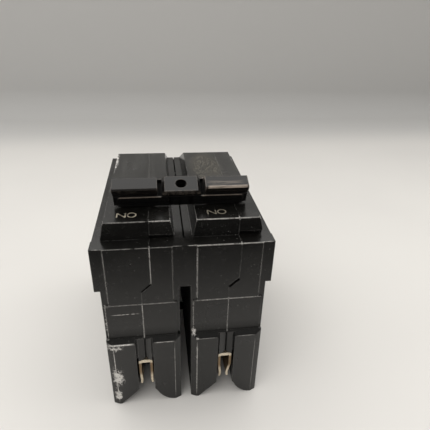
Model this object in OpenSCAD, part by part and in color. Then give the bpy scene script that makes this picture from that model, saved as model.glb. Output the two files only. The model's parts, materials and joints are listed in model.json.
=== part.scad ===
// Two-pole plug-in molded case breaker. It stands on its legs, the line jaws face -Y and the handles lean to ON.
// +X is across the poles, +Y runs from the line end to the load end, +Z is up. Millimetres.

/* [Case] */
// Distance between the two poles
pole_pitch = 25.4; // [25.4:0.1:26.5]
// Width of one pole below the shoulders
lower_w = 22.12; // [21.6:0.02:22.6]
// Depth of the case from the front panel to the load end wall
case_d = 70.4; // [70:0.1:72]
// Height of the ledge around the raised blocks
ledge_h = 59.5; // [59.5:0.1:61]
// Height of the raised block that carries the handle
block_top = 64.9; // [64.9:0.1:66]
// Height where the wide upper part of a pole begins
shoulder_z = 45.65; // [45:0.05:46.5]
// How far the legs stand in front of the panel
leg_front = 1.5; // [1:0.1:2]
// Reach of the rail foot behind the load end wall
foot_reach = 3.5; // [3:0.1:4]

/* [Handle] */
// Lean of the handle from upright in the ON position
handle_lean = 23.5; // [22:0.5:25]
// Distance from the pivot to the top of the grips
grip_r = 22; // [21.5:0.1:22.5]
// Radius of the hole in the tie plate
tie_hole_r = 1.66; // [1.4:0.02:2]

/* [Terminals] */
// Radius of the wire hole in the lug
wire_r = 3.2; // [2.5:0.1:3.4]
// Width of the jaw clip over its two tines
clip_w = 4.4; // [4:0.1:4.6]

/* [Hidden] */
$fn = 64;
eps = 0.01;
y_mid = (case_d + foot_reach - leg_front) / 2;
pole_half = pole_pitch / 2;
lower_half = lower_w / 2;
panel_half = 9.2;
band_half = 10.3;
panel_y = 0.12;
margin_y = 0.4;
band_bottom = 27.5;
band_top = 40.4;
leg_top = 26.3;
// hollow that runs the band's face out to the shoulder of the legs, as [y, height over the band's bottom]
hollow = [[0, 4], [-0.04, 3.2], [-0.12, 2.3], [-0.26, 1.3], [-0.45, 0.45]];
leg_bevel_y = -0.7;
edge_groove = [0.25, 0.9];
block_half_top = 9.05;
block_half_base = 10.2;
block_y0 = 4.7;
block_lean = 0.3;
block_y1 = 60.6;
cavity_half = 9.2;
wall_y0 = 2.6;
wall_y1 = case_d - 2.8;
roof_z = ledge_h - 2.2;
block_roof_z = block_top - 2.2;
block_cavity_half = 7.2;
floor_z = 3;
chamber_floor_z = 20.5;
// seam between base and cover: high part, bend, low part
seam_high = 3.1;
seam_low = 0.2;
seam_bend_top = 47.4;
seam_bend_low = 44.7;
// jaw pocket between the legs
pocket_half = 2.6;
pocket_y1 = 14;
pocket_top = 18;
// the recess over the jaw is a shallow V in plan, with a groove along the seam and one along each side
recess_edge_y = -0.65;
recess_mid_y = 0.2;
groove_half = 0.25;
groove_y = 0.9;
side_groove = [0.55, 0.6];
// mouth under the jaw: an elliptic corner on the cover side, a sloped corner on the base side
mouth_round = [7, 9.8];
mouth_slope = [[0, -1], [-9.4, -1], [-8.5, 0], [-2.95, 5.7], [-2.6, 6.4]];
// handle pivot, contact arm and cradle, as [y, z]
pivot = [23.4, 52.6];
pivot_pin_r = 1.5;
run = 0.06;
nose_r = 8;
nose = [pivot[0] + nose_r * sin(handle_lean), pivot[1] - nose_r * cos(handle_lean)];
arm_pin_r = 1;
contact_z = 28;
fixed_face_y = 8.4;
tip_gap = 0.1;
tip_t = 1.2;
tip_r = 2;
arm_face_y = fixed_face_y + tip_gap + tip_t;
arm_end = [arm_face_y + 0.9, contact_z];
arm_half_t = 0.9;
spring_pin = nose + 0.59 * (arm_end - nose);
cradle_pivot = [9, 42.5];
cradle_pin_r = 1.2;
anchor = [pivot[0], pivot[1] - 4.3];
latch_tip = [43.3, 40.3];
cradle_x = [5, 6.4];
armature_pivot = [44.4, 51.5];
trip_axis = [38, 26];
trip_r = 2;
slot_half_y = 8.4;
slot_half_x = 5.5;
shield_r = 11.3;
// tie and grips in the lever's own frame: across and up from the pivot
plate_r = grip_r - 1.2;
skirt_top = grip_r - 3.1;
skirt_low = 15.15;
skirt_half = 3.6;
skirt_back = 0.4;
tie_half = 19.3;
panel_end = 1.2;
plate_half = 5.6;
grip_gap = 1.25;
neck_half_x = 5;
neck_half_s = 2.2;
// terminal
lug_y = [57.6, 67.4];
lug_z = [28.5, 43.5];
lug_half = 6;
wire_z = 34;
screw_y = 64.2;
screw_r = 2;
well_r = 3.3;
// rivets as [y, z]
rivet_r = 1.6;
rivet_head_r = 2.6;
rivet_head_t = 0.8;
rivets = [[6, 52], [39.5, 55.5], [36, 7.5], [58, 8]];

// ---- placing and drawing helpers ----

// Puts something drawn from the panel plane into the part's own frame.
module placed() {
    translate([0, -y_mid, 0]) children();
}

// Puts something drawn about a pole's own middle plane on the left (-1) or right (1) pole.
module on_pole(side) {
    placed() translate([side * pole_half, 0, 0]) children();
}

// A side outline, given as [y, z] points or 2D shapes, as a slab between two x planes.
module slab(x0, x1) {
    translate([x0, 0, 0]) rotate([90, 0, 90]) linear_extrude(x1 - x0) children();
}

// A round bar along X at [y, z].
module bar_x(at, r, x0, x1) {
    translate([x0, at[0], at[1]]) rotate([0, 90, 0]) cylinder(r = r, h = x1 - x0);
}

// A box between two corners.
module block(low, high) {
    translate(low) cube(high - low);
}

// A plan outline of a pole with its front face standing proud of the two margins.
module plan(half, face_half, face_y, back_y, bevel, z0, z1) {
    translate([0, 0, z0]) linear_extrude(z1 - z0) polygon([
        [-half, bevel[1]],
        [-face_half - bevel[0], bevel[1]],
        [-face_half, face_y],
        [face_half, face_y],
        [face_half + bevel[0], bevel[1]],
        [half, bevel[1]],
        [half, back_y],
        [-half, back_y]
    ]);
}

// Something drawn upright about the handle pivot, leaned to its ON place.
module leaned() {
    translate([0, pivot[0], pivot[1]]) rotate([handle_lean, 0, 0]) children();
}

// ---- case ----

// Outside of one pole, solid.
module pole_solid() {
    plan(pole_half, panel_half, panel_y, case_d, [0.15, margin_y], shoulder_z, ledge_h);
    plan(lower_half, panel_half, panel_y, case_d, [0.15, margin_y], band_top, shoulder_z + eps);
    plan(lower_half, band_half, 0, case_d, [0.1, margin_y], band_bottom, band_top);
    shoulder_y = hollow[len(hollow) - 1][0];
    shoulder_top = band_bottom + hollow[len(hollow) - 1][1];
    difference() {
        plan(lower_half, panel_half, -leg_front, case_d, [lower_half - panel_half - eps, leg_bevel_y], 0, shoulder_top);
        // sloped shoulder on the legs
        slab(-pole_half, pole_half) polygon([
            [-leg_front - 1, leg_top],
            [-leg_front, leg_top],
            [shoulder_y, shoulder_top],
            [shoulder_y, shoulder_top + 1],
            [-leg_front - 1, shoulder_top + 1]
        ]);
    }
    slab(-band_half, band_half) polygon(concat(
        [[1, shoulder_top - 1], [1, band_bottom + hollow[0][1]]],
        [for (p = hollow) [p[0], band_bottom + p[1]]],
        [[shoulder_y, shoulder_top - 1]]
    ));
    raised_block();
    // rail foot at the load end
    block([-lower_half + 1, case_d - 4, 0], [lower_half - 1, case_d + foot_reach, 4]);
}

module raised_block() {
    intersection() {
        translate([0, case_d, 0]) rotate([90, 0, 0]) linear_extrude(case_d - block_y0) polygon([
            [-block_half_base, ledge_h - 1],
            [-block_half_base, ledge_h],
            [-block_half_top, block_top],
            [block_half_top, block_top],
            [block_half_base, ledge_h],
            [block_half_base, ledge_h - 1]
        ]);
        slab(-pole_half, pole_half) polygon([
            [block_y0, ledge_h - 1],
            [block_y0, ledge_h],
            [block_y0 + block_lean, block_top],
            [block_y1, block_top],
            [case_d, ledge_h],
            [case_d, ledge_h - 1]
        ]);
    }
}

// Open space inside one pole.
module pole_cavity() {
    slab(-cavity_half, cavity_half) polygon([
        [wall_y0, chamber_floor_z],
        [wall_y0, roof_z],
        [wall_y1, roof_z],
        [wall_y1, 12],
        [case_d - 7, 12],
        [case_d - 7, floor_z],
        [pocket_y1 + 2.5, floor_z],
        // sloped floor under the sweep of the contact arm
        [pocket_y1 + 2.5, pocket_top + 0.3],
        [pocket_y1 - 1.4, chamber_floor_z]
    ]);
    block([-block_cavity_half, block_y0 + 2.5, roof_z - eps], [block_cavity_half, block_y1 - 3, block_roof_z]);
    // slot for the handle neck and room for the shield under it
    block([-slot_half_x, pivot[0] - slot_half_y, block_roof_z - 1], [slot_half_x, pivot[0] + slot_half_y, block_top + 1]);
    bar_x(pivot, shield_r + 0.35, -block_cavity_half, block_cavity_half);
}

// Jaw pocket, the flared mouth under it and the recess over it.
module jaw_space() {
    front = -leg_front - 1;
    block([-pocket_half, front, -1], [pocket_half, pocket_y1, pocket_top]);
    translate([0, 0, pocket_top - eps]) linear_extrude(band_bottom - pocket_top + eps) polygon([
        [-pocket_half, front],
        [-pocket_half, side_groove[1]],
        [-pocket_half + side_groove[0], side_groove[1]],
        [-pocket_half + side_groove[0], recess_edge_y],
        [seam_low - groove_half, recess_mid_y],
        [seam_low - groove_half, groove_y],
        [seam_low + groove_half, groove_y],
        [seam_low + groove_half, recess_mid_y],
        [pocket_half - side_groove[0], recess_edge_y],
        [pocket_half - side_groove[0], side_groove[1]],
        [pocket_half, side_groove[1]],
        [pocket_half, front]
    ]);
    // room for the foot of the line strap, and the strap's way up into the contact chamber
    block([-pocket_half, 1.8, pocket_top - eps], [pocket_half, 12.2, pocket_top + 0.85]);
    block([-pocket_half, 5.95, pocket_top], [pocket_half, 7.05, chamber_floor_z + eps]);
    round_x = pocket_half - 0.3 + mouth_round[0];
    translate([0, pocket_y1, 0]) rotate([90, 0, 0]) linear_extrude(pocket_y1 - front) {
        polygon(concat(mouth_slope, [[0, 6.4]]));
        polygon(concat(
            [[0, mouth_round[1]]],
            [for (a = [30:10:90]) [round_x - mouth_round[0] * cos(a), mouth_round[1] * (1 - sin(a))]],
            [[round_x, -1], [0, -1]]
        ));
    }
}

// Everything that is drilled or cut into both halves of one pole.
module pole_cuts(side) {
    pole_cavity();
    jaw_space();
    // open slot at the bend of the seam, wider where the right pole's halves don't quite meet
    translate([(seam_high + seam_low) / 2, 0, (seam_bend_top + seam_bend_low) / 2])
        rotate([0, -atan2(seam_bend_top - seam_bend_low, seam_high - seam_low), 0])
        cube([4, 3, side < 0 ? 0.45 : 0.8], center = true);
    // rail notch over the foot
    block([-pole_half - 1, case_d - 4.4, 4], [pole_half + 1, case_d + foot_reach + 1, 9]);
    // wire hole and screw well
    translate([0, wall_y1 - 1, wire_z]) rotate([-90, 0, 0]) cylinder(r = wire_r + 1, h = 6);
    translate([0, screw_y, roof_z - 1]) cylinder(r = well_r, h = 12);
    // seats of the pins that cross a pole
    bar_x(pivot, pivot_pin_r, -cavity_half - 1, cavity_half + 1);
    bar_x(cradle_pivot, cradle_pin_r, -cavity_half - 1, cavity_half + 1);
    bar_x(armature_pivot, 0.9 + run, -cavity_half - 0.8, cavity_half + 0.8);
    for (r = rivets) {
        bar_x(r, rivet_r, -pole_half - 1, pole_half + 1);
    }
    // chamfered top edges, so that a groove shows where two poles meet
    for (s = [-1, 1]) {
        translate([s * pole_half, case_d + 1, ledge_h]) rotate([90, 0, 0]) linear_extrude(case_d + 1 - block_y0)
            polygon([[-edge_groove[0], 0.1], [edge_groove[0], 0.1], [0, -edge_groove[1]]]);
    }
}

// The space that belongs to the base, on the -X side of the seam.
module base_side() {
    far = pole_half + 2;
    translate([0, case_d + foot_reach + 2, 0]) rotate([90, 0, 0]) linear_extrude(case_d + foot_reach + 6)
        polygon([
            [-far, -2],
            [-far, block_top + 2],
            [seam_high, block_top + 2],
            [seam_high, seam_bend_top],
            [seam_low, seam_bend_low],
            [seam_low, -2]
        ]);
}

// Counterbores for the rivet heads and the shallow panel on an outer side wall.
module outer_side_cuts(side) {
    for (r = rivets) {
        outer = r[1] > shoulder_z ? pole_half : lower_half;
        x = side * (outer - rivet_head_t);
        bar_x(r, rivet_head_r + 0.2, min(x, side * (outer + 1)), max(x, side * (outer + 1)));
    }
    panel_x = side * (lower_half - 0.25);
    block(
        [min(panel_x, side * pole_half), 12, 12],
        [max(panel_x, side * pole_half), 56, shoulder_z - 5]
    );
}

// The trip bar's way through the walls. It goes right through the two inner walls.
module trip_bore(through) {
    reach = through ? pole_half + 1 : cavity_half + 1;
    bar_x(trip_axis, trip_r + 0.05, 0, reach);
}

module base(side) {
    color([0.13, 0.13, 0.135]) on_pole(side) difference() {
        intersection() {
            pole_solid();
            base_side();
        }
        pole_cuts(side);
        if (side < 0) {
            outer_side_cuts(-1);
        }
        mirror([1, 0, 0]) trip_bore(side > 0);
    }
}

module cover(side) {
    color([0.15, 0.15, 0.155]) on_pole(side) difference() {
        pole_solid();
        base_side();
        pole_cuts(side);
        if (side > 0) {
            outer_side_cuts(1);
        }
        trip_bore(side < 0);
        // long low slot at the foot of the raised block
        block([seam_high, block_y0 - 1, ledge_h], [block_half_base + 1, block_y0 + 1.6, ledge_h + 1.2]);
    }
}

module rivet(at) {
    outer = at[1] > shoulder_z ? 2 * pole_half : pole_half + lower_half;
    color([0.55, 0.53, 0.5]) placed() {
        bar_x(at, rivet_r, -outer + rivet_head_t, outer - rivet_head_t);
        for (s = [-1, 1]) {
            translate([s * (outer - rivet_head_t), at[0], at[1]]) rotate([0, s * 90, 0]) difference() {
                cylinder(r1 = rivet_head_r, r2 = rivet_head_r - 0.35, h = rivet_head_t - 0.15);
                translate([0, 0, 0.25]) cylinder(r = 0.9, h = 1);
            }
        }
    }
}

// ---- handle ----

module handle(side) {
    // the grips stand off the middle of the breaker by the same amount on both sides
    grip_in = plate_half + grip_gap - pole_half;
    grip_out = tie_half + 0.25 - pole_half;
    color([0.05, 0.05, 0.05]) on_pole(side) leaned() difference() {
        union() {
            slab(side > 0 ? grip_in : -grip_out, side > 0 ? grip_out : -grip_in) polygon([
                [-3.33, grip_r - 1.6],
                [-3.33, grip_r - 0.35],
                [-2.98, grip_r],
                [1.1, grip_r],
                [2.9, grip_r - 2.2],
                [2.9, skirt_top],
                [-2.7, skirt_top],
                [-2.7, grip_r - 1.6]
            ]);
            slab(-neck_half_x, neck_half_x) translate([-neck_half_s, shield_r - 1])
                square([2 * neck_half_s, skirt_top - shield_r + 1 + eps]);
            slab(-6, 6) shield_outline();
            slab(-3.4, 1.3) translate([-1.3, 1]) square([2.6, shield_r - 2.2]);
            bar_x([0, 0], 3.2, -4.6, 4.6);
            // cheek that carries the contact arm
            slab(-3.4, -1.2) {
                translate([-1.8, -nose_r]) square([3.6, nose_r]);
                translate([0, -nose_r]) circle(r = 2.2);
            }
        }
        bar_x([0, 0], pivot_pin_r + run, -10, 10);
        bar_x([0, -nose_r], arm_pin_r, -4, 0);
    }
}

// Curved shield that closes the slot at every handle angle.
module shield_outline() {
    difference() {
        circle(r = shield_r);
        circle(r = shield_r - 1.6);
        polygon([
            [0, 0],
            20 * [sin(72), cos(72)],
            20 * [sin(110), cos(110)],
            [0, -30],
            20 * [-sin(110), cos(110)],
            20 * [-sin(72), cos(72)]
        ]);
    }
}

// Outline of the raised skirt panel, with rounded upper corners.
module skirt_panel() {
    half = tie_half - panel_end;
    corner = 0.9;
    translate([-half, skirt_low]) square([2 * half, skirt_top - skirt_low - corner]);
    translate([-half + corner, skirt_low]) square([2 * (half - corner), skirt_top - skirt_low]);
    for (s = [-1, 1]) {
        translate([s * (half - corner), skirt_top - corner]) circle(r = corner);
    }
}

module handle_tie() {
    window_in = pole_half - neck_half_x - 0.05;
    window_out = pole_half + neck_half_x + 0.05;
    color([0.06, 0.06, 0.06]) placed() leaned() difference() {
        union() {
            // skirt all round, with a raised panel along its front and back
            block([-tie_half, -skirt_half + skirt_back, skirt_low + 0.2], [tie_half, skirt_half - skirt_back, skirt_top]);
            rotate([90, 0, 0]) translate([0, 0, -skirt_half]) linear_extrude(2 * skirt_half) skirt_panel();
            // bevelled plate in the middle
            translate([0, 0, skirt_top - eps]) hull() {
                block([-plate_half, -3.5, 0], [plate_half, 2.9, 0.9]);
                block([-plate_half + 0.8, -3.2, 0], [plate_half - 0.8, 2.6, plate_r - skirt_top + eps]);
            }
        }
        for (s = [-1, 1]) {
            // windows for the two handle necks
            x0 = min(s * window_in, s * window_out);
            block([x0, -neck_half_s - 0.03, skirt_low - 1], [x0 + window_out - window_in, neck_half_s + 0.03, skirt_top + 1]);
        }
        // slots between the plate and the grips, with their floor falling to the front
        for (x = [-plate_half - grip_gap, plate_half]) {
            slab(x, x + grip_gap) polygon([
                [-skirt_half + skirt_back, skirt_top - 3.1],
                [skirt_half - skirt_back, skirt_top - 1.2],
                [skirt_half - skirt_back, skirt_top + 1],
                [-skirt_half + skirt_back, skirt_top + 1]
            ]);
        }
        // hollow under the plate, and its hole
        block([-5.2, -2.6, skirt_low - 1], [5.2, 2.6, skirt_top]);
        translate([0, -0.3, skirt_low]) cylinder(r = tie_hole_r, h = 10);
    }
}

module pivot_pin(side) {
    color([0.7, 0.7, 0.7]) on_pole(side) bar_x(pivot, pivot_pin_r, -cavity_half - 0.95, cavity_half + 0.95);
}

// ---- contacts and linkage ----

module arm_pin(side) {
    color([0.7, 0.7, 0.7]) on_pole(side) bar_x(nose, arm_pin_r, -3.4, 1.4);
}

module contact_arm(side) {
    along = (arm_end - nose) / norm(arm_end - nose);
    across = [-along[1], along[0]];
    color([0.78, 0.45, 0.28]) on_pole(side) {
        difference() {
            slab(-arm_half_t, arm_half_t) {
                translate(nose) circle(r = 2.2);
                polygon([
                    nose + 1.9 * across,
                    nose - 1.9 * across,
                    [arm_face_y, contact_z + 2.6],
                    [arm_face_y, contact_z - 2.4],
                    [arm_face_y + 2.2, contact_z - 2.4]
                ]);
            }
            bar_x(nose, arm_pin_r + run, -2, 2);
        }
        bar_x(spring_pin, 0.6, arm_half_t - eps, 4.4);
    }
}

module moving_tip(side) {
    color([0.85, 0.85, 0.84]) on_pole(side) translate([0, arm_face_y, contact_z]) rotate([90, 0, 0])
        cylinder(r = tip_r, h = tip_t);
}

module fixed_tip(side) {
    color([0.85, 0.85, 0.84]) on_pole(side) translate([0, fixed_face_y, contact_z]) rotate([90, 0, 0])
        cylinder(r = tip_r + 0.3, h = 1.4);
}

module line_strap(side) {
    color([0.8, 0.5, 0.3]) on_pole(side) {
        block([-2.4, 6, pocket_top], [2.4, 7, contact_z + 3]);
        block([-2, 2, pocket_top], [2, 12, pocket_top + 0.8]);
    }
}

// One tine of the jaw clip from its outer to its inner side: straight down, then leaning in, with its end curled out.
function tine(s, half, t, lean) = [
    [s * half, pocket_top - 5],
    [s * (half - lean), pocket_top - 8.9],
    [s * (half - lean + 0.1), pocket_top - 10.5],
    [s * (half - t - lean + 0.25), pocket_top - 10.5],
    [s * (half - t - lean), pocket_top - 8.9],
    [s * (half - t), pocket_top - 5]
];

function backwards(points) = [for (i = [len(points) - 1:-1:0]) points[i]];

// Inverted U that grips a bus stab. The right pole's tines have been pinched further than the left pole's.
module jaw_clip(side) {
    half = clip_w / 2;
    t = 0.85;
    bar_t = 1.2;
    color([0.8, 0.7, 0.5]) on_pole(side) translate([0, 12, 0]) rotate([90, 0, 0]) linear_extrude(12.3)
        polygon(concat(
            [
                [-half, pocket_top - 0.5],
                [-half + 0.15, pocket_top - 0.15],
                [-half + 0.5, pocket_top],
                [half - 0.5, pocket_top],
                [half - 0.15, pocket_top - 0.15],
                [half, pocket_top - 0.5]
            ],
            tine(1, half, t, side < 0 ? 0.05 : 0.9),
            [[half - t, pocket_top - bar_t], [-half + t, pocket_top - bar_t]],
            backwards(tine(-1, half, t, side < 0 ? 0.25 : 0.4))
        ));
}

// Close-wound tension spring between the arm's pin and the cradle's anchor.
module toggle_spring(side) {
    away = anchor - spring_pin;
    gap = 1.0;
    length = norm(away) - 2 * gap;
    coils = 9;
    wire = length / coils / 2;
    color([0.75, 0.75, 0.73]) on_pole(side)
        translate([3, spring_pin[0], spring_pin[1]])
        rotate([-atan2(away[0], away[1]), 0, 0])
        translate([0, 0, gap])
        rotate_extrude($fn = 32)
        polygon(concat(
            [[0.7, 0]],
            [for (i = [0:coils - 1], a = [-75:30:75])
                [1.05 + wire * cos(a), (2 * i + 1 + sin(a)) * wire]],
            [[0.7, length]]
        ));
}

module cradle(side) {
    color([0.6, 0.6, 0.58]) on_pole(side) {
        difference() {
            slab(cradle_x[0], cradle_x[1]) {
                translate(cradle_pivot) circle(r = 2.6);
                translate(anchor) circle(r = 1.7);
                polygon([
                    cradle_pivot + [-0.8, 2.4],
                    anchor + [-1, 1.35],
                    anchor + [1.2, 1.2],
                    latch_tip + [-4, 1.6],
                    latch_tip,
                    latch_tip + [0, -1.2],
                    latch_tip + [-8, -1.6],
                    cradle_pivot + [1, -2.4]
                ]);
            }
            bar_x(cradle_pivot, cradle_pin_r + run, 0, 10);
        }
        bar_x(anchor, 0.7, 2, cradle_x[0] + eps);
    }
}

module cradle_pin(side) {
    color([0.7, 0.7, 0.7]) on_pole(side) bar_x(cradle_pivot, cradle_pin_r, -cavity_half - 0.95, cavity_half + 0.95);
}

// ---- trip parts ----

module bimetal(side) {
    color([0.62, 0.58, 0.5]) on_pole(side) block([-3, 46.8, 22], [3, 47.6, 50]);
}

module yoke(side) {
    color([0.5, 0.5, 0.5]) on_pole(side) {
        block([-5, 48.4, 27], [5, 49.6, 40]);
        for (s = [-1, 1]) {
            block([s * 4.5 - 0.5, 46.5, 27], [s * 4.5 + 0.5, 48.4 + eps, 40]);
        }
    }
}

module armature(side) {
    color([0.55, 0.55, 0.55]) on_pole(side) {
        block([-5, 43.8, 37.6], [6.8, 44.9, armature_pivot[1]]);
        bar_x(armature_pivot, 0.9, -cavity_half - 0.75, cavity_half + 0.75);
    }
}

// Flexible copper braid from the arm to the foot of the bimetal.
module braid(side) {
    half_t = 0.6;
    steps = 14;
    start = nose + 0.72 * (arm_end - nose);
    stop = [46.8, 23.4];
    sag = 22;
    path = [for (i = [0:steps]) let (u = i / steps)
        [start[0] + (stop[0] - start[0]) * u, start[1] + (stop[1] - start[1]) * u - sag * u * (1 - u) * (1 - 0.5 * u)]];
    color([0.8, 0.5, 0.32]) on_pole(side) slab(-3.3, -arm_half_t) polygon(concat(
        [for (i = [0:steps]) path[i] + [0, half_t]],
        [for (i = [steps:-1:0]) path[i] - [0, half_t]]
    ));
}

module load_strap(side) {
    color([0.8, 0.5, 0.3]) on_pole(side) difference() {
        slab(-3, 3) polygon([
            [47.6, 43],
            [47.6, 56.4],
            [56.6, 56.4],
            [56.6, 39.6],
            [57.6, 39.6],
            [57.6, 38.6],
            [55.6, 38.6],
            [55.6, 55.4],
            [48.6, 55.4],
            [48.6, 43]
        ]);
        translate([0, 54, 49]) rotate([-90, 0, 0]) cylinder(r = 1.25, h = 4);
    }
}

module cal_screw(side) {
    color([0.75, 0.75, 0.75]) on_pole(side) translate([0, 48.6, 49]) rotate([-90, 0, 0]) {
        cylinder(r = 1.25, h = 8.3);
        translate([0, 0, 8]) difference() {
            cylinder(r = 2.2, h = 0.9);
            translate([-3, -0.3, 0.4]) cube([6, 0.6, 1]);
        }
    }
}

module trip_bar() {
    reach = pole_half + cavity_half + 0.9;
    color([0.82, 0.78, 0.66]) placed() {
        bar_x(trip_axis, trip_r, -reach, reach);
        for (s = [-1, 1]) {
            // paddle in front of each bimetal
            block(
                [s * pole_half - 2.5, trip_axis[0], trip_axis[1] - 1],
                [s * pole_half + 2.5, 45.6, trip_axis[1] + 0.6]
            );
        }
    }
}

// ---- terminal ----

module lug(side) {
    color([0.72, 0.73, 0.75]) on_pole(side) difference() {
        block([-lug_half, lug_y[0], lug_z[0]], [lug_half, lug_y[1], lug_z[1]]);
        translate([0, lug_y[0] - 1, wire_z]) rotate([-90, 0, 0]) cylinder(r = wire_r, h = 12);
        translate([0, screw_y, wire_z]) cylinder(r = screw_r + 0.05, h = 12);
    }
}

module lug_screw(side) {
    pad_top = wire_z + wire_r + 1.1;
    color([0.7, 0.7, 0.72]) on_pole(side) translate([0, screw_y, 0]) difference() {
        union() {
            translate([0, 0, pad_top + 0.05]) cylinder(r = screw_r, h = 8.6);
            translate([0, 0, 46.2]) cylinder(r = 2.9, h = 1.6);
        }
        translate([-0.45, -4, 46.9]) cube([0.9, 8, 2]);
    }
}

module lug_pad(side) {
    color([0.6, 0.6, 0.6]) on_pole(side) translate([0, screw_y, wire_z + wire_r + 0.1])
        cylinder(r = screw_r - 0.1, h = 1);
}

// ---- arc chute ----

module arc_plates(side) {
    color([0.5, 0.5, 0.5]) on_pole(side) for (i = [0:4]) {
        translate([0, 0, 4.6 + 2.6 * i]) linear_extrude(1) polygon([
            [-6.5, 17.5], [-2.4, 17.5], [0, 25], [2.4, 17.5], [6.5, 17.5], [6.5, 30], [-6.5, 30]
        ]);
    }
}

module arc_sheet(side) {
    color([0.72, 0.62, 0.5]) on_pole(side) difference() {
        block([-7.4, 17.2, 3.6], [7.4, 30.9, 18.4]);
        block([-6.5, 16, 3], [6.5, 30, 19]);
    }
}

base(-1);  // left_base
cover(-1);  // left_cover
handle(-1);  // left_handle
pivot_pin(-1);  // left_pivot_pin
arm_pin(-1);  // left_arm_pin
contact_arm(-1);  // left_contact_arm
moving_tip(-1);  // left_moving_tip
fixed_tip(-1);  // left_fixed_tip
line_strap(-1);  // left_line_strap
jaw_clip(-1);  // left_jaw_clip
toggle_spring(-1);  // left_toggle_spring
cradle(-1);  // left_cradle
cradle_pin(-1);  // left_cradle_pin
bimetal(-1);  // left_bimetal
yoke(-1);  // left_yoke
armature(-1);  // left_armature
braid(-1);  // left_braid
load_strap(-1);  // left_load_strap
lug(-1);  // left_lug
lug_pad(-1);  // left_lug_pad
lug_screw(-1);  // left_lug_screw
cal_screw(-1);  // left_cal_screw
arc_plates(-1);  // left_arc_plates
arc_sheet(-1);  // left_arc_sheet
base(1);  // right_base
cover(1);  // right_cover
handle(1);  // right_handle
pivot_pin(1);  // right_pivot_pin
arm_pin(1);  // right_arm_pin
contact_arm(1);  // right_contact_arm
moving_tip(1);  // right_moving_tip
fixed_tip(1);  // right_fixed_tip
line_strap(1);  // right_line_strap
jaw_clip(1);  // right_jaw_clip
toggle_spring(1);  // right_toggle_spring
cradle(1);  // right_cradle
cradle_pin(1);  // right_cradle_pin
bimetal(1);  // right_bimetal
yoke(1);  // right_yoke
armature(1);  // right_armature
braid(1);  // right_braid
load_strap(1);  // right_load_strap
lug(1);  // right_lug
lug_pad(1);  // right_lug_pad
lug_screw(1);  // right_lug_screw
cal_screw(1);  // right_cal_screw
arc_plates(1);  // right_arc_plates
arc_sheet(1);  // right_arc_sheet
handle_tie();
trip_bar();
rivet(rivets[0]);  // rivet_front_top
rivet(rivets[1]);  // rivet_rear_top
rivet(rivets[2]);  // rivet_front_low
rivet(rivets[3]);  // rivet_rear_low
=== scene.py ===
import json
import math

import bpy
from mathutils import Matrix, Vector


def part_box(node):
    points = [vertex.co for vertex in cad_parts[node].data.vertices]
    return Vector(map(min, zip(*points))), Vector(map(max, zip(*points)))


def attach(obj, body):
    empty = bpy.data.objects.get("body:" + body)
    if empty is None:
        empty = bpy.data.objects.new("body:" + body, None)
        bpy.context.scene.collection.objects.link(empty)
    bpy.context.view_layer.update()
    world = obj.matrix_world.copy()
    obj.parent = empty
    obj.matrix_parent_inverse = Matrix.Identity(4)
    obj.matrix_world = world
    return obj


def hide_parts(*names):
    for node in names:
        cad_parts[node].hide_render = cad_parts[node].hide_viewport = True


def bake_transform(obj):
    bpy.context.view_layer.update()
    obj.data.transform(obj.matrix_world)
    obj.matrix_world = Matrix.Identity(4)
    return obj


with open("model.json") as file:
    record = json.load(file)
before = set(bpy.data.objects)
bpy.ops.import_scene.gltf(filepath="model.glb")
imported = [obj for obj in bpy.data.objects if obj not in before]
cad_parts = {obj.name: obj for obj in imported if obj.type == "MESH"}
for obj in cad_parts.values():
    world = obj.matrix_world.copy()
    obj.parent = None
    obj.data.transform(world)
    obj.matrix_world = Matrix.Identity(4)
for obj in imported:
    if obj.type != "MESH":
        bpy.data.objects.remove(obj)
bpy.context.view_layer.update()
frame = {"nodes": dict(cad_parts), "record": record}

MM = 0.001
SIDES = ("left", "right")


def middle(node, axis):
    """The middle of a CAD node's box along one axis, in metres."""
    low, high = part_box(node)
    return (low[axis] + high[axis]) / 2


# Main places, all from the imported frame; the legs stand proud of the front panel
LEG_PROUD = 1.5 * MM
BLOCK_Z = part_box("left_base")[1].z
PANEL_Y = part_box("left_base")[0].y + LEG_PROUD
POLE_X = {side: middle(f"{side}_pivot_pin", 0) for side in SIDES}


# ---- shader helpers ----

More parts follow.
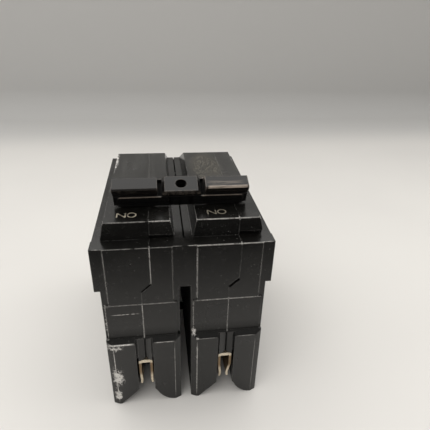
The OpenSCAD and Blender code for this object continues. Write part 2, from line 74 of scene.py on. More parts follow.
class Shader:
    """One material's node tree. Most methods add nodes and return the output socket that holds the result."""

    def __init__(self, name):
        self.material = bpy.data.materials.new(name)
        self.material.use_nodes = True
        self.tree = self.material.node_tree
        self.tree.nodes.clear()
        output = self.tree.nodes.new("ShaderNodeOutputMaterial")
        self.surface = self.tree.nodes.new("ShaderNodeBsdfPrincipled")
        self.tree.links.new(self.surface.outputs["BSDF"], output.inputs["Surface"])
        self.place = self.tree.nodes.new("ShaderNodeTexCoord").outputs["Object"]

    def put(self, socket, value):
        """Gives an input a link, a colour or a plain value."""
        if isinstance(value, bpy.types.NodeSocket):
            self.tree.links.new(value, socket)
        elif socket.type == "RGBA":
            socket.default_value = (*value, 1)
        else:
            socket.default_value = value

    def node(self, kind, inputs, **settings):
        """A new node with its inputs filled and its settings made."""
        made = self.tree.nodes.new(kind)
        for key, value in settings.items():
            setattr(made, key, value)
        for key, value in inputs.items():
            self.put(made.inputs[key], value)
        return made

    def set(self, **values):
        """Fills inputs of the surface shader, with _ for each space in a name."""
        for key, value in values.items():
            self.put(self.surface.inputs[key.replace("_", " ")], value)

    def place_part(self, axis):
        """The place along one axis, in metres."""
        return self.node("ShaderNodeSeparateXYZ", {0: self.place}).outputs[axis]

    def off_middle(self):
        """The distance from the plane between the poles, in metres."""
        return self.math("ABSOLUTE", self.place_part("X"))

    def math(self, operation, a, b=0.0):
        """One arithmetic step; b is left out where the operation takes a single value."""
        return self.node("ShaderNodeMath", {0: a, 1: b}, operation=operation).outputs[0]

    def times(self, *factors):
        """The product of all factors."""
        total = factors[0]
        for factor in factors[1:]:
            total = self.math("MULTIPLY", total, factor)
        return total

    def either(self, *masks):
        """The strongest of several masks."""
        total = masks[0]
        for mask in masks[1:]:
            total = self.math("MAXIMUM", total, mask)
        return total

    def ramp(self, value, low, high, to_low=0.0, to_high=1.0):
        """Smooth step from to_low to to_high as value goes from low to high."""
        made = self.node("ShaderNodeMapRange", {"Value": value, "From Min": low, "From Max": high,
                                                "To Min": to_low, "To Max": to_high},
                         interpolation_type="SMOOTHSTEP")
        return made.outputs["Result"]

    def noise(self, scale, detail=3.0, roughness=0.55, stretch=(1, 1, 1), offset=(0, 0, 0)):
        """Cloudy noise from 0 to 1. scale is in turns per metre, and a stretch below 1 draws it out."""
        at = self.node("ShaderNodeMapping", {"Vector": self.place, "Location": offset, "Scale": stretch})
        made = self.node("ShaderNodeTexNoise", {"Vector": at.outputs[0], "Scale": scale, "Detail": detail,
                                                "Roughness": roughness})
        return made.outputs["Fac"]

    def mix(self, factor, a, b):
        """Colour a where factor is 0, and b where it is 1."""
        made = self.node("ShaderNodeMix", {"Factor": factor}, data_type="RGBA")
        # the colour sockets share their names with the plain ones, so they go by number
        colour_a, colour_b, colour_result = 6, 7, 2
        self.put(made.inputs[colour_a], a)
        self.put(made.inputs[colour_b], b)
        return made.outputs[colour_result]

    def edges(self, radius):
        """1 on an edge, falling to 0 at radius, from how far the rounded normal turns from the flat one."""
        bevel = self.node("ShaderNodeBevel", {"Radius": radius}, samples=6)
        flat = self.node("ShaderNodeNewGeometry", {})
        dot = self.node("ShaderNodeVectorMath", {0: bevel.outputs[0], 1: flat.outputs["True Normal"]},
                        operation="DOT_PRODUCT")
        return self.ramp(dot.outputs["Value"], 1.0, 0.9)

    def convex(self, reach):
        """1 on outward edges and open faces, 0 in corners that are closed in."""
        made = self.node("ShaderNodeAmbientOcclusion", {"Distance": reach}, samples=4)
        return self.ramp(made.outputs["AO"], 0.55, 0.85)

    def blob(self, centre, size):
        """1 at a place, falling to 0 at size from it, with size given along each axis."""
        at = self.node("ShaderNodeMapping", {"Vector": self.place, "Location": centre, "Scale": size},
                       vector_type="TEXTURE")
        length = self.node("ShaderNodeVectorMath", {0: at.outputs[0]}, operation="LENGTH")
        return self.ramp(length.outputs["Value"], 1.0, 0.0)

    def box(self, low, high, soft):
        """1 inside a box, falling to 0 at its sides over the outer part that soft gives."""
        at = self.node("ShaderNodeMapping", {"Vector": self.place, "Location": (low + high) / 2,
                                             "Scale": (high - low) / 2}, vector_type="TEXTURE")
        away = self.node("ShaderNodeVectorMath", {0: at.outputs[0]}, operation="ABSOLUTE")
        parts = self.node("ShaderNodeSeparateXYZ", {0: away.outputs[0]}).outputs
        return self.ramp(self.either(*parts), 1.0, 1.0 - soft)

    def bump(self, height, distance, strength):
        """Fine relief in the surface, at most distance high."""
        made = self.node("ShaderNodeBump", {"Height": height, "Distance": distance, "Strength": strength})
        self.put(self.surface.inputs["Normal"], made.outputs[0])


# ---- materials ----

def spot(side, x, y, z):
    """A place on one pole: across from its middle, back from the front panel and up, in millimetres."""
    return Vector((POLE_X[side] + x * MM, PANEL_Y + y * MM, z * MM))


# Boxes in which the edges are painted pale, as rubbed wear and, along the front edges of the block tops, also
# as a painted highlight: pole, two corners as spot() takes them, strength
WORN_AND_HIGHLIT_EDGES = [
    # sides of the upper panels
    ("left", (-9.6, -0.6, 40.6), (-8.8, 1.0, 59.2), 0.7),
    ("left", (8.8, -0.6, 40.6), (9.6, 1.0, 59.2), 0.4),
    ("right", (-9.6, -0.6, 40.6), (-8.8, 1.0, 59.2), 1.0),
    ("right", (8.8, -0.6, 40.6), (9.6, 1.0, 59.2), 0.5),
    # step between upper and lower panels
    ("left", (-10.6, -0.6, 39.9), (10.6, 1.0, 40.9), 0.7),
    ("right", (-10.6, -0.6, 39.9), (10.6, 1.0, 40.9), 0.9),
    # seams between base and cover
    ("left", (2.6, -0.6, 47.0), (3.6, 1.0, 60.0), 0.9),
    ("left", (-0.4, -0.6, 27.0), (0.8, 1.0, 40.6), 0.8),
    ("right", (-0.4, -0.6, 27.0), (0.8, 1.0, 40.6), 0.6),
    # left corners of the lower panels
    ("left", (-10.8, -0.6, 27.0), (-9.8, 1.0, 40.6), 0.8),
    ("right", (-10.8, -0.6, 27.0), (-9.8, 1.0, 40.6), 0.9),
    # front edge of the ledge
    ("left", (-12.8, -0.6, 59.0), (12.8, 1.2, 60.0), 0.5),
    ("right", (-12.8, -0.6, 59.0), (12.8, 1.2, 60.0), 0.9),
    # front edges of the block tops: rubbed wear and a painted highlight
    ("left", (-11.0, 4.0, 64.2), (3.0, 6.2, 65.2), 0.5),
    ("left", (3.0, 4.0, 64.2), (9.6, 6.2, 65.2), 1.0),
    ("right", (-11.0, 4.0, 64.2), (11.0, 6.2, 65.2), 1.0),
    # block edges along the channel, and the left block's rear edge
    ("left", (8.4, 4.0, 59.0), (10.8, 40.0, 65.2), 0.5),
    ("right", (-10.8, 4.0, 59.0), (-8.4, 40.0, 65.2), 0.5),
    ("left", (-10.8, 40.0, 62.0), (-8.4, 62.0, 65.2), 1.0),
]
# Blunt corners and seams that show as thin pale lines, rubbed wear and, on the leg tops and the front edges
# of the block tops, also a painted highlight: pole, two corners, strength
RUBBED_AND_HIGHLIT_LINES = [
    # corners down the legs
    ("left", (-9.37, -1.7, 0.0), (-9.03, -1.0, 26.4), 0.9),
    ("left", (9.07, -1.7, 0.0), (9.33, -1.0, 26.4), 0.4),
    ("right", (-9.36, -1.7, 0.0), (-9.04, -1.0, 26.4), 0.6),
    ("right", (9.07, -1.7, 0.0), (9.33, -1.0, 26.4), 0.3),
    # tops of the legs: rubbed wear and a painted highlight on the rounded shoulder
    ("left", (-11.2, -1.7, 26.0), (-2.6, -0.3, 26.6), 1.0),
    ("left", (2.6, -1.7, 26.1), (9.6, -0.9, 26.5), 0.6),
    ("right", (-9.4, -1.7, 26.15), (-2.6, -0.9, 26.45), 0.3),
    ("right", (2.6, -1.7, 26.15), (9.4, -0.9, 26.45), 0.35),
    # front edges of the block tops: rubbed wear and a painted highlight
    ("left", (-9.1, 4.6, 64.6), (3.0, 5.25, 65.0), 0.25),
    ("left", (3.2, 4.6, 64.6), (9.1, 5.25, 65.0), 0.6),
    ("right", (-9.1, 4.6, 64.6), (9.1, 5.25, 65.0), 0.6),
    # ledge, and step between the panels
    ("right", (-12.6, -0.1, 59.2), (12.6, 0.5, 59.6), 0.3),
    ("right", (-10.2, -0.2, 40.2), (10.2, 0.4, 40.5), 0.4),
    ("left", (-10.2, -0.2, 40.2), (10.2, 0.4, 40.5), 0.2),
    # seams along the rear of the block tops
    ("left", (2.85, 26.0, 64.6), (3.15, 62.0, 65.0), 0.07),
    ("right", (2.85, 26.0, 64.6), (3.15, 62.0, 65.0), 0.06),
]
# Chalky patches: pole, centre, size, strength
SCUFFS = [
    # left leg
    ("left", (-8.9, -1.4, 12.6), (3.0, 3.0, 6.4), 1.0),
    ("left", (-9.2, -1.4, 4.6), (2.0, 3.0, 6.0), 0.95),
    ("left", (-9.0, -1.4, 25.0), (4.4, 3.0, 2.2), 0.75),
    ("left", (-10.4, -1.2, 26.0), (1.6, 2.0, 1.2), 0.8),
    # corner of the left lower panel
    ("left", (-10.2, 0.0, 40.2), (1.6, 1.5, 1.2), 0.7),
    ("left", (-10.6, 0.2, 33.5), (0.4, 1.5, 6.5), 0.6),
    # right pole's corner over the gap
    ("right", (-10.2, 0.0, 28.0), (1.2, 2.0, 2.8), 0.95),
    ("right", (-9.3, -1.0, 26.4), (1.2, 2.0, 0.9), 0.7),
    ("right", (-9.2, -1.2, 20.5), (0.5, 2.0, 5.0), 0.6),
    # rear edges of the block tops
    ("left", (-9.2, 53.0, 64.8), (1.7, 16.0, 1.5), 1.0),
    ("right", (9.1, 52.0, 64.8), (0.6, 8.0, 0.8), 0.5),
]
# One level scratch across the left panel: two corners
SCRATCH = [(-9.4, -1.0, 36.85), (-0.2, 1.0, 37.15)]
# What is left of worn print on the right block: centre, size
WORN_PRINT = [(-2.0, 45.0, 64.9), (8.0, 20.0, 1.0)]
# The gap between the poles, the grooves and the space between the legs, matt as moulded
HIDDEN_LOW = spot("left", -10.0, 0.5, -1.0)
HIDDEN_HIGH = spot("right", 10.0, 66.0, 45.7)

# pale of rubbed wear, and of the painted highlights along some edges
PALE_WEAR_AND_HIGHLIGHT = (0.62, 0.6, 0.57)
# brown of rubbed wear on the handles, and of the painted highlight on the right grip's front top edge
BROWN_WEAR_AND_HIGHLIGHT = (0.36, 0.3, 0.25)
PRINT_FILM = (0.3, 0.26, 0.18)
DRAWN_GREY = (0.016, 0.0158, 0.0145)
# black of painted shade, for the rivets in the gap between the poles and for the dark sheet in front
SHADE_BLACK = (0.004, 0.004, 0.004)


def lighter(colour, factor):
    """A colour made lighter or, with a factor below 1, darker."""
    return tuple(part * factor for part in colour)


def in_boxes(s, boxes, soft):
    """The strongest of several soft boxes, each at its own strength."""
    return s.either(*[s.times(s.box(spot(side, *low), spot(side, *high), soft), amount)
                      for side, low, high, amount in boxes])


def patch(s, side, centre, size):
    """A soft round patch on one pole, with centre and size in millimetres."""
    return s.blob(spot(side, *centre), tuple(Vector(size) * MM))


def case_wear_and_highlights(s, fine, clumps, shift):
    """Where the case is pale: rubbed edges and lines, some of them also a painted highlight, chips, a
    scratch, chalky scuffs and specks of dust.
    """
    ragged = s.noise(1100, 5, 0.7, offset=shift)
    edge_radius, open_reach = 0.4 * MM, 0.6 * MM
    near_edge = s.times(s.edges(edge_radius), s.convex(open_reach))
    edge = s.times(s.ramp(near_edge, 0.5, 0.85), s.ramp(ragged, 0.34, 0.48))
    chips = s.times(s.ramp(near_edge, 0.05, 0.2), s.ramp(s.noise(1700, 3, 0.6, offset=shift), 0.6, 0.66))
    everywhere = s.ramp(s.noise(120, 3, offset=shift), 0.42, 0.62, 0.0, 0.15)
    # the butted faces between the poles stay dark
    apart = s.ramp(s.off_middle(), 0.5 * MM, 0.8 * MM)
    # rubbed wear, and on the front edges of the block tops also a painted highlight
    worn = s.times(s.either(everywhere, in_boxes(s, WORN_AND_HIGHLIT_EDGES, 0.15)), apart)
    beads = s.ramp(fine, 0.38, 0.6, 0.45, 1.0)
    edge_line = s.times(worn, beads, s.either(edge, chips))
    # thin lines of rubbed wear, and on the leg tops and the block tops' front edges also a painted highlight
    thin_line = s.times(in_boxes(s, RUBBED_AND_HIGHLIT_LINES, 0.4), beads, s.ramp(ragged, 0.3, 0.5, 0.3, 1.0))
    scratch = s.times(in_boxes(s, [("left", *SCRATCH, 1.0)], 0.6), s.ramp(ragged, 0.4, 0.52))
    scuffs = s.either(*[s.times(patch(s, side, centre, size), amount)
                        for side, centre, size, amount in SCUFFS])
    chalk = s.ramp(s.math("SUBTRACT", scuffs, s.ramp(clumps, 0.36, 0.62, 0.05, 0.8)), -0.12, 0.55)
    dust = s.times(s.ramp(s.noise(2400, 2, offset=shift), 0.74, 0.79), 0.6)
    return s.either(s.times(edge_line, 0.9), thin_line, s.times(scratch, 0.7), s.times(chalk, 0.95), dust)


def moulded_case(name, colour, shift):
    """Black phenolic that mostly mirrors the room, with pale wear and painted highlights on some edges. shift
    moves its noise to another place.
    """
    s = Shader(name)
    cloud = s.noise(90, 4, offset=shift)
    grain = s.noise(2600, 3, offset=shift)
    fine = s.noise(2300, 3, offset=shift)
    clumps = s.math("ADD", s.times(s.noise(650, 4, 0.6, offset=shift), 0.55), s.times(fine, 0.45))
    pale = case_wear_and_highlights(s, fine, clumps, shift)
    mottled = s.mix(s.ramp(cloud, 0.38, 0.66), colour, lighter(colour, 1.7))
    # fine streaks drawn along the rear of the block tops
    drawn = s.times(s.ramp(s.noise(420, 4, 0.6, stretch=(1, 0.05, 1), offset=shift), 0.4, 0.65),
                    s.ramp(s.place_part("Z"), 61 * MM, 63 * MM),
                    s.ramp(s.place_part("Y"), PANEL_Y + 18 * MM, PANEL_Y + 34 * MM))
    film = s.times(s.ramp(patch(s, "right", *WORN_PRINT), 0.0, 0.5), s.ramp(fine, 0.44, 0.66),
                   s.ramp(clumps, 0.4, 0.55, 0.35, 1.0), 0.3)
    body = s.mix(film, s.mix(drawn, mottled, DRAWN_GREY), PRINT_FILM)
    s.set(Base_Color=s.mix(pale, body, PALE_WEAR_AND_HIGHLIGHT))
    gloss = s.ramp(cloud, 0.3, 0.7, 0.2, 0.28)
    matt = s.times(s.box(HIDDEN_LOW, HIDDEN_HIGH, 0.02), 0.7)
    s.set(Roughness=s.math("ADD", gloss, s.either(s.times(pale, 0.4), matt)))
    s.set(IOR=1.5)
    s.bump(s.math("ADD", s.times(grain, 0.12), cloud), 0.12 * MM, 0.5)
    return s.material


def grip_wear_and_highlight(s, streaks):
    """Faint worn streaks along the top of the right grip, and a strong line on its front top edge that is
    rubbed wear and a painted highlight.
    """
    grip_low, grip_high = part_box("right_handle")
    # both boxes are given from the grip's front top right corner
    corner = Vector((grip_high.x, grip_low.y, grip_high.z))
    top = s.box(corner + Vector((-14, 0.2, -1.6)) * MM, corner + Vector((0, 2.6, 0.2)) * MM, 0.7)
    # painted highlight along the rounded front top edge, broken up like the rubbed wear on it
    front_edge = s.box(corner + Vector((-12.3, -0.4, -2.2)) * MM, corner + Vector((0, 1.2, -1.45)) * MM, 0.15)
    return s.either(s.times(top, s.ramp(streaks, 0.42, 0.6), 0.22),
                    s.times(front_edge, s.ramp(streaks, 0.3, 0.55, 0.4, 1.0), 0.8))


def tie_wear(s, ragged):
    """Thin lines on the handle tie: its plate's front lip, and the raised panel's top beside the plate."""
    tie_low, tie_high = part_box("handle_tie")
    top_edge = Vector((middle("handle_tie", 0), tie_low.y, tie_high.z))
    lip = top_edge + Vector((0, 0, -2.9)) * MM
    lip_reach = Vector((5.8, 0.45, 0.75)) * MM
    ridge = top_edge + Vector((0, 0.26, -4.2)) * MM
    ridge_reach = Vector((18.1, 0.4, 0.2)) * MM
    beside_plate = s.ramp(s.off_middle(), 5.6 * MM, 6.2 * MM)
    return s.either(s.times(s.box(lip - lip_reach, lip + lip_reach, 0.1), s.ramp(ragged, 0.3, 0.6), 0.1),
                    s.times(s.box(ridge - ridge_reach, ridge + ridge_reach, 0.05), beside_plate,
                            s.ramp(ragged, 0.25, 0.5, 0.4, 1.0), 0.38))


def handle_plastic(name, colour):
    """Glossy black, handled smooth, with brownish wear on the top edges and streaks on the right grip, and a
    painted highlight along the grip's front top edge.
    """
    s = Shader(name)
    cloud = s.noise(140, 4)
    ragged = s.noise(800, 4, 0.7)
    streaks = s.noise(1500, 3, 0.6, stretch=(0.12, 1, 1))
    edge_radius, open_reach = 0.45 * MM, 0.8 * MM
    edge = s.ramp(s.times(s.edges(edge_radius), s.convex(open_reach)), 0.3, 0.8)
    grip_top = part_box("right_handle")[1].z
    more_right = s.ramp(s.place_part("X"), 6 * MM, 7 * MM, 0.3, 1.0)
    high_up = s.ramp(s.place_part("Z"), grip_top - 2.8 * MM, grip_top - 2.2 * MM, 0.1, 1.0)
    edge_wear = s.times(edge, s.ramp(ragged, 0.32, 0.55), more_right, high_up, 0.8)
    pale = s.either(edge_wear, grip_wear_and_highlight(s, streaks), tie_wear(s, ragged))
    body = s.mix(s.ramp(cloud, 0.4, 0.65), colour, lighter(colour, 1.7))
    s.set(Base_Color=s.mix(pale, body, BROWN_WEAR_AND_HIGHLIGHT))
    gloss = s.ramp(ragged, 0.3, 0.7, 0.14, 0.2)
    crevice = s.math("SUBTRACT", 1.0, s.convex(2.0 * MM))
    s.set(Roughness=s.math("ADD", gloss, s.either(s.times(pale, 0.25), s.times(crevice, 0.7))))
    s.set(IOR=1.5)
    s.bump(cloud, 0.08 * MM, 0.4)
    return s.material


def printed_mark(name, colour, body):
    """Cream print that is worn through in places, more so on the right pole."""
    s = Shader(name)
    flaked = s.ramp(s.noise(700, 4, 0.65), 0.5, 0.62, 0.0, 0.75)
    on_right = s.ramp(s.place_part("X"), 0.0, 5 * MM, 0.0, 0.5)
    s.set(Base_Color=s.mix(s.either(flaked, on_right), colour, body))
    s.set(Roughness=0.5)
    return s.material


def metal(name, colour, roughness, tarnish=(0.2, 0.15, 0.1), brush=(1, 1, 1), painted_shade_middle=0.0):
    """Bare or plated metal, brushed and spotted, with painted shade: black as far as the given reach from the
    middle plane, where the part shows in the dark gap between the poles.
    """
    s = Shader(name)
    streak = s.noise(1500, 3, stretch=brush)
    cloud = s.noise(350, 4)
    s.set(Metallic=1.0)
    tone = s.mix(s.ramp(cloud, 0.45, 0.7, 0.0, 0.5), colour, tarnish)
    # painted shade: black where the part shows in the dark gap between the poles
    if painted_shade_middle:
        tone = s.mix(s.ramp(s.off_middle(), painted_shade_middle, painted_shade_middle + 1 * MM), SHADE_BLACK, tone)
    s.set(Base_Color=tone)
    s.set(Roughness=s.math("ADD", s.ramp(streak, 0.3, 0.7, roughness * 0.75, roughness * 1.2),
                           s.times(s.ramp(cloud, 0.5, 0.75), 0.15)))
    s.bump(streak, 0.02 * MM, 0.3)
    return s.material


def jaw_metal(name, colour, tarnish):
    """Tinned brass of the jaw clips: painted bright as a highlight on the bar and on the lit, rubbed tine
    ends, and brown between them, partly tarnish and partly painted shade.
    """
    s = Shader(name)
    cloud = s.noise(500, 4, 0.6)
    height = s.place_part("Z")
    clip_low, clip_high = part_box("left_jaw_clip")
    # painted highlight on the top of the bar, lit from above
    bar = s.ramp(height, clip_high.z - 1.7 * MM, clip_high.z - 1.0 * MM)
    ends = s.ramp(height, clip_low.z + 5.5 * MM, clip_low.z + 3.0 * MM)
    # painted light: only the lit front edges are bright, the insides stay brown as painted shade
    front = s.ramp(s.place_part("Y"), clip_low.y + 0.5 * MM, clip_low.y + 0.15 * MM)
    bright = s.times(s.either(bar, ends), s.either(front, 0.25), s.ramp(cloud, 0.3, 0.6, 0.55, 1.0))
    s.set(Metallic=0.8)
    # brown where unlit, as tarnish and painted shade, and the clip colour where the highlight is painted
    s.set(Base_Color=s.mix(bright, tarnish, colour))
    s.set(Roughness=s.ramp(cloud, 0.3, 0.7, 0.34, 0.5))
    s.bump(cloud, 0.03 * MM, 0.4)
    return s.material


def plain_moulding(name, colour, roughness):
    """Light moulded or fibre parts inside, with a soft mottle."""
    s = Shader(name)
    cloud = s.noise(260, 4)
    fibre = s.noise(1800, 3, stretch=(0.2, 1, 1))
    s.set(Base_Color=s.mix(s.ramp(cloud, 0.35, 0.7), colour, lighter(colour, 0.72)))
    s.set(Roughness=s.ramp(fibre, 0.3, 0.7, roughness, roughness + 0.15))
    s.bump(fibre, 0.03 * MM, 0.4)
    return s.material


MATERIALS = {
    "case_base": moulded_case("case_base", (0.0034, 0.0033, 0.0029), (0, 0, 0)),
    "case_cover": moulded_case("case_cover", (0.0040, 0.0038, 0.0034), (0.31, 0.12, 0.07)),
    "handle_gloss": handle_plastic("handle_gloss", (0.0016, 0.0010, 0.0008)),
    "tie_black": handle_plastic("tie_black", (0.0010, 0.0008, 0.0008)),
    # the brown of the jaw clips is tarnish and painted shade
    "jaw_brass": jaw_metal("jaw_brass", (0.78, 0.69, 0.54), (0.24, 0.17, 0.10)),
    "copper": metal("copper", (0.8, 0.45, 0.3), 0.32, (0.35, 0.16, 0.09), (1, 1, 0.1)),
    "copper_braid": metal("copper_braid", (0.72, 0.4, 0.27), 0.45, (0.3, 0.14, 0.08), (4, 1, 1)),
    "silver": metal("silver", (0.82, 0.82, 0.8), 0.3, (0.35, 0.34, 0.32)),
    "spring_steel": metal("spring_steel", (0.6, 0.6, 0.58), 0.3),
    "plated_steel": metal("plated_steel", (0.62, 0.61, 0.56), 0.4, (0.4, 0.37, 0.28)),
    "pin_steel": metal("pin_steel", (0.62, 0.62, 0.62), 0.25),
    "screw_steel": metal("screw_steel", (0.64, 0.63, 0.58), 0.35, (0.4, 0.36, 0.25)),
    # the rivets get painted shade where they show in the gap between the poles
    "rivet_steel": metal("rivet_steel", (0.5, 0.48, 0.44), 0.42, (0.22, 0.19, 0.15), painted_shade_middle=5 * MM),
    "bimetal_strip": metal("bimetal_strip", (0.56, 0.53, 0.47), 0.35, brush=(1, 1, 0.1)),
    "lug_aluminium": metal("lug_aluminium", (0.74, 0.75, 0.76), 0.38, (0.5, 0.5, 0.5), (1, 0.15, 1)),
    "fibre_sheet": plain_moulding("fibre_sheet", (0.42, 0.31, 0.2), 0.6),
    "trip_ivory": plain_moulding("trip_ivory", (0.66, 0.6, 0.46), 0.4),
    "on_print": printed_mark("on_print", (0.3, 0.27, 0.21), (0.02, 0.018, 0.015)),
}


# ---- CAD nodes ----

SLOT_OF = {part["node"]: part["material_slot"] for part in frame["record"]["subparts"]}
# How wide the edges are rounded, in millimetres, by material slot
PLAIN_EDGE = 0.08
EDGE_WIDTH = {
    "case_base": 0.13,
    "case_cover": 0.13,
    "handle_gloss": 0.45,
    "tie_black": 0.25,
    "jaw_brass": 0.12,
    "lug_aluminium": 0.25,
    "screw_steel": 0.12,
    "rivet_steel": 0.1,
}


def finish_node(name, thing):
    """Gives a CAD node its material and small rounded edges."""
    slot = SLOT_OF[name]
    thing.data.materials.clear()
    thing.data.materials.append(MATERIALS[slot])
    weld = thing.modifiers.new("weld", "WELD")
    weld.merge_threshold = 0.002 * MM
    flat = thing.modifiers.new("flat", "DECIMATE")
    flat.decimate_type = "DISSOLVE"
    flat.angle_limit = math.radians(0.6)
    bevel = thing.modifiers.new("edges", "BEVEL")
    bevel.width = EDGE_WIDTH.get(slot, PLAIN_EDGE) * MM
    bevel.segments = 2
    bevel.limit_method = "ANGLE"
    bevel.angle_limit = math.radians(28)
    normals = thing.modifiers.new("normals", "WEIGHTED_NORMAL")
    normals.weight = 80


def hooked_spring(side):
    """The toggle spring again: a copy of its CAD node with the modifiers applied, standing in its place while
    the node is hidden.
    """
    node = frame["nodes"][f"{side}_toggle_spring"]
    mesh = bpy.data.meshes.new_from_object(node.evaluated_get(bpy.context.evaluated_depsgraph_get()))
    spring = bpy.data.objects.new(f"{side}_hooked_spring", mesh)
    spring.matrix_world = node.matrix_world
    bpy.context.scene.collection.objects.link(spring)
    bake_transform(spring)
    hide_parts(node.name)


# ---- ON marks ----

def ribbon(points, closed, width):
    """A flat ribbon along a line of 2D points: the points of its two edges by turns, and its quads."""
    count = len(points)
    rim = []
    for i, point in enumerate(points):
        before = points[i - 1] if i > 0 or closed else point
        after = points[(i + 1) % count] if i < count - 1 or closed else point
        along = (after - before).normalized()
        across = Vector((-along.y, along.x)) * width / 2
        rim += [point + across, point - across]
    steps = count if closed else count - 1
    quads = [tuple(k % len(rim) for k in (2 * i, 2 * i + 1, 2 * i + 3, 2 * i + 2)) for i in range(steps)]
    return rim, quads


def on_mark(side):
    """The word ON printed on a block top, read from the load end, as one thin raised mesh."""
    high, wide, gap, stroke = 2.5, 2.3, 0.6, 0.36
    left, back = -5.5, 7.8
    # each stroke lies a little over the one before, so that they don't share a plane where they cross
    first_lift, next_lift = 0.012, 0.004
    centre = Vector((left + wide + gap + wide / 2, high / 2))
    ring_points = 24
    ring = [centre + Vector((wide / 2 * math.cos(a), high / 2 * math.sin(a)))
            for a in [math.tau * i / ring_points for i in range(ring_points)]]
    strokes = [
        ([Vector((left, 0)), Vector((left, high))], False),
        ([Vector((left, high)), Vector((left + wide, 0))], False),
        ([Vector((left + wide, 0)), Vector((left + wide, high))], False),
        (ring, True),
    ]
    points, faces = [], []
    for i, (path, closed) in enumerate(strokes):
        rim, quads = ribbon(path, closed, stroke)
        start = len(points)
        lift = (first_lift + next_lift * i) * MM
        corner = Vector((POLE_X[side], PANEL_Y + back * MM, BLOCK_Z + lift))
        points += [corner + point.to_3d() * MM for point in rim]
        faces += [tuple(start + k for k in quad) for quad in quads]
    mesh = bpy.data.meshes.new(f"{side}_on_mark")
    mesh.from_pydata(points, [], faces)
    mesh.materials.append(MATERIALS["on_print"])
    thing = bpy.data.objects.new(f"{side}_on_mark", mesh)
    bpy.context.scene.collection.objects.link(thing)
    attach(thing, "case")


# ---- stage, light and camera ----

def backdrop():
    """Pale paper that lies under the object and curves up into a low wall behind it, with painted shade
    towards and on the wall.
    """
    s = Shader("pale_floor")
    cloud = s.noise(4, 3)
    # painted shade: the paper is paler in front than behind, darkened towards and on the wall where less
    # light falls
    front_paper = s.mix(s.ramp(cloud, 0.3, 0.7), (0.70, 0.685, 0.66), (0.66, 0.645, 0.625))
    painted_shade_from, painted_shade_to = 0.215, 0.29
    behind = s.ramp(s.place_part("Y"), painted_shade_from, painted_shade_to)
    s.set(Base_Color=s.mix(behind, front_paper, (0.565, 0.56, 0.55)))
    s.set(Roughness=0.6)
    s.set(Specular_IOR_Level=0.0)
    wall_y, bend, top, front, half = 0.35, 0.03, 0.3, -1.2, 2.0
    bend_steps = 16
    side_line = [(front, 0.0)]
    side_line += [(wall_y - bend + bend * math.sin(a), bend - bend * math.cos(a))
                  for a in [math.pi / 2 * i / bend_steps for i in range(bend_steps + 1)]]
    side_line.append((wall_y, top))
    points = [(x, y, z) for y, z in side_line for x in (-half, half)]
    faces = [(2 * i, 2 * i + 1, 2 * i + 3, 2 * i + 2) for i in range(len(side_line) - 1)]
    mesh = bpy.data.meshes.new("backdrop")
    mesh.from_pydata(points, [], faces)
    mesh.materials.append(s.material)
    mesh.shade_smooth()
    paper = bpy.data.objects.new("backdrop", mesh)
    bpy.context.scene.collection.objects.link(paper)


# How bright the room is by direction: axis, where the step starts and ends, brightness before and after it
ROOM_STEPS = [
    ("Z", 0.0, 0.5, 0.8, 1.7),
    ("Y", -0.5, 0.05, 0.2, 1.0),
]


def room():
    """A soft room all around: bright overhead and behind, dim low down and in front."""
    world = bpy.data.worlds.new("room")
    world.use_nodes = True
    tree = world.node_tree
    direction = tree.nodes.new("ShaderNodeSeparateXYZ")
    tree.links.new(tree.nodes.new("ShaderNodeTexCoord").outputs["Generated"], direction.inputs[0])
    total = tree.nodes.new("ShaderNodeMath")
    total.operation = "MULTIPLY"
    for i, (axis, low, high, before, after) in enumerate(ROOM_STEPS):
        step = tree.nodes.new("ShaderNodeMapRange")
        step.interpolation_type = "SMOOTHSTEP"
        tree.links.new(direction.outputs[axis], step.inputs["Value"])
        for key, value in (("From Min", low), ("From Max", high), ("To Min", before), ("To Max", after)):
            step.inputs[key].default_value = value
        tree.links.new(step.outputs["Result"], total.inputs[i])
    background = tree.nodes["Background"]
    background.inputs["Color"].default_value = (1.0, 0.985, 0.955, 1)
    tree.links.new(total.outputs[0], background.inputs["Strength"])
    bpy.context.scene.world = world


# Soft lamps: name, place, what they aim at, size in metres, power in watts, whether they show in gloss
LAMPS = [
    ("window_light", (-0.35, 0.35, 0.7), (0, 0, 0.03), 0.3, 0.3, True),
    ("front_light", (-0.24, -0.42, 0.45), (0.03, -0.06, 0), 0.6, 1.9, False),
]


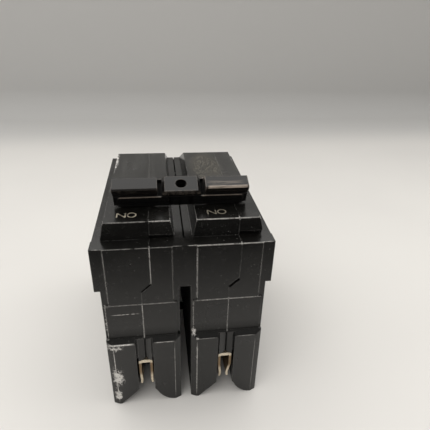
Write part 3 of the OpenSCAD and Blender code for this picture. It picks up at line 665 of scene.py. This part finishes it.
def lamp(name, place, aim, size, power, in_gloss):
    """One square soft lamp."""
    light = bpy.data.lights.new(name, "AREA")
    light.size = size
    light.energy = power
    light.color = (1.0, 0.985, 0.96)
    thing = bpy.data.objects.new(name, light)
    thing.visible_glossy = in_gloss
    thing.location = place
    thing.rotation_euler = (Vector(aim) - Vector(place)).to_track_quat("-Z", "Y").to_euler()
    bpy.context.scene.collection.objects.link(thing)


def front_shade():
    """A dark sheet low in front that shows only in gloss, for the dim side of the room the front mirrors."""
    s = Shader("front_shade")
    fade = s.ramp(s.place_part("Y"), PANEL_Y - 25 * MM, PANEL_Y - 105 * MM)
    s.set(Base_Color=SHADE_BLACK, Roughness=1.0, Alpha=fade)
    far, near, half, lift = PANEL_Y - 400 * MM, PANEL_Y - 20 * MM, 0.3, 0.5 * MM
    corners = [(-half, far, lift), (half, far, lift), (half, near, lift), (-half, near, lift)]
    mesh = bpy.data.meshes.new("front_shade")
    mesh.from_pydata(corners, [], [(0, 1, 2, 3)])
    mesh.materials.append(s.material)
    shade = bpy.data.objects.new("front_shade", mesh)
    shade.visible_camera = False
    shade.visible_diffuse = False
    shade.visible_shadow = False
    bpy.context.scene.collection.objects.link(shade)


def camera():
    """The camera stands over the line end, close to the object, looking down along it."""
    place = Vector((-5.92 * MM, PANEL_Y - 88.34 * MM, 116.65 * MM))
    azimuth = math.radians(8.90)
    pitch = math.radians(28.16)
    roll = math.radians(1.95)
    level = Vector((math.sin(azimuth), math.cos(azimuth), 0))
    forward = level * math.cos(pitch) - Vector((0, 0, math.sin(pitch)))
    flat_right = forward.cross(Vector((0, 0, 1))).normalized()
    flat_up = flat_right.cross(forward)
    right = flat_right * math.cos(roll) + flat_up * math.sin(roll)
    up = flat_up * math.cos(roll) - flat_right * math.sin(roll)
    data = bpy.data.cameras.new("camera")
    data.sensor_width = 36
    data.lens = 32.5
    data.clip_start = 0.005
    thing = bpy.data.objects.new("camera", data)
    turn = Matrix((right, up, -forward)).transposed().to_4x4()
    thing.matrix_world = Matrix.Translation(place) @ turn
    bpy.context.scene.collection.objects.link(thing)
    bpy.context.scene.camera = thing


for name, thing in frame["nodes"].items():
    finish_node(name, thing)
for side in SIDES:
    hooked_spring(side)
for side in SIDES:
    on_mark(side)
backdrop()
room()
for row in LAMPS:
    lamp(*row)
front_shade()
camera()
bpy.context.scene.view_settings.view_transform = "Standard"
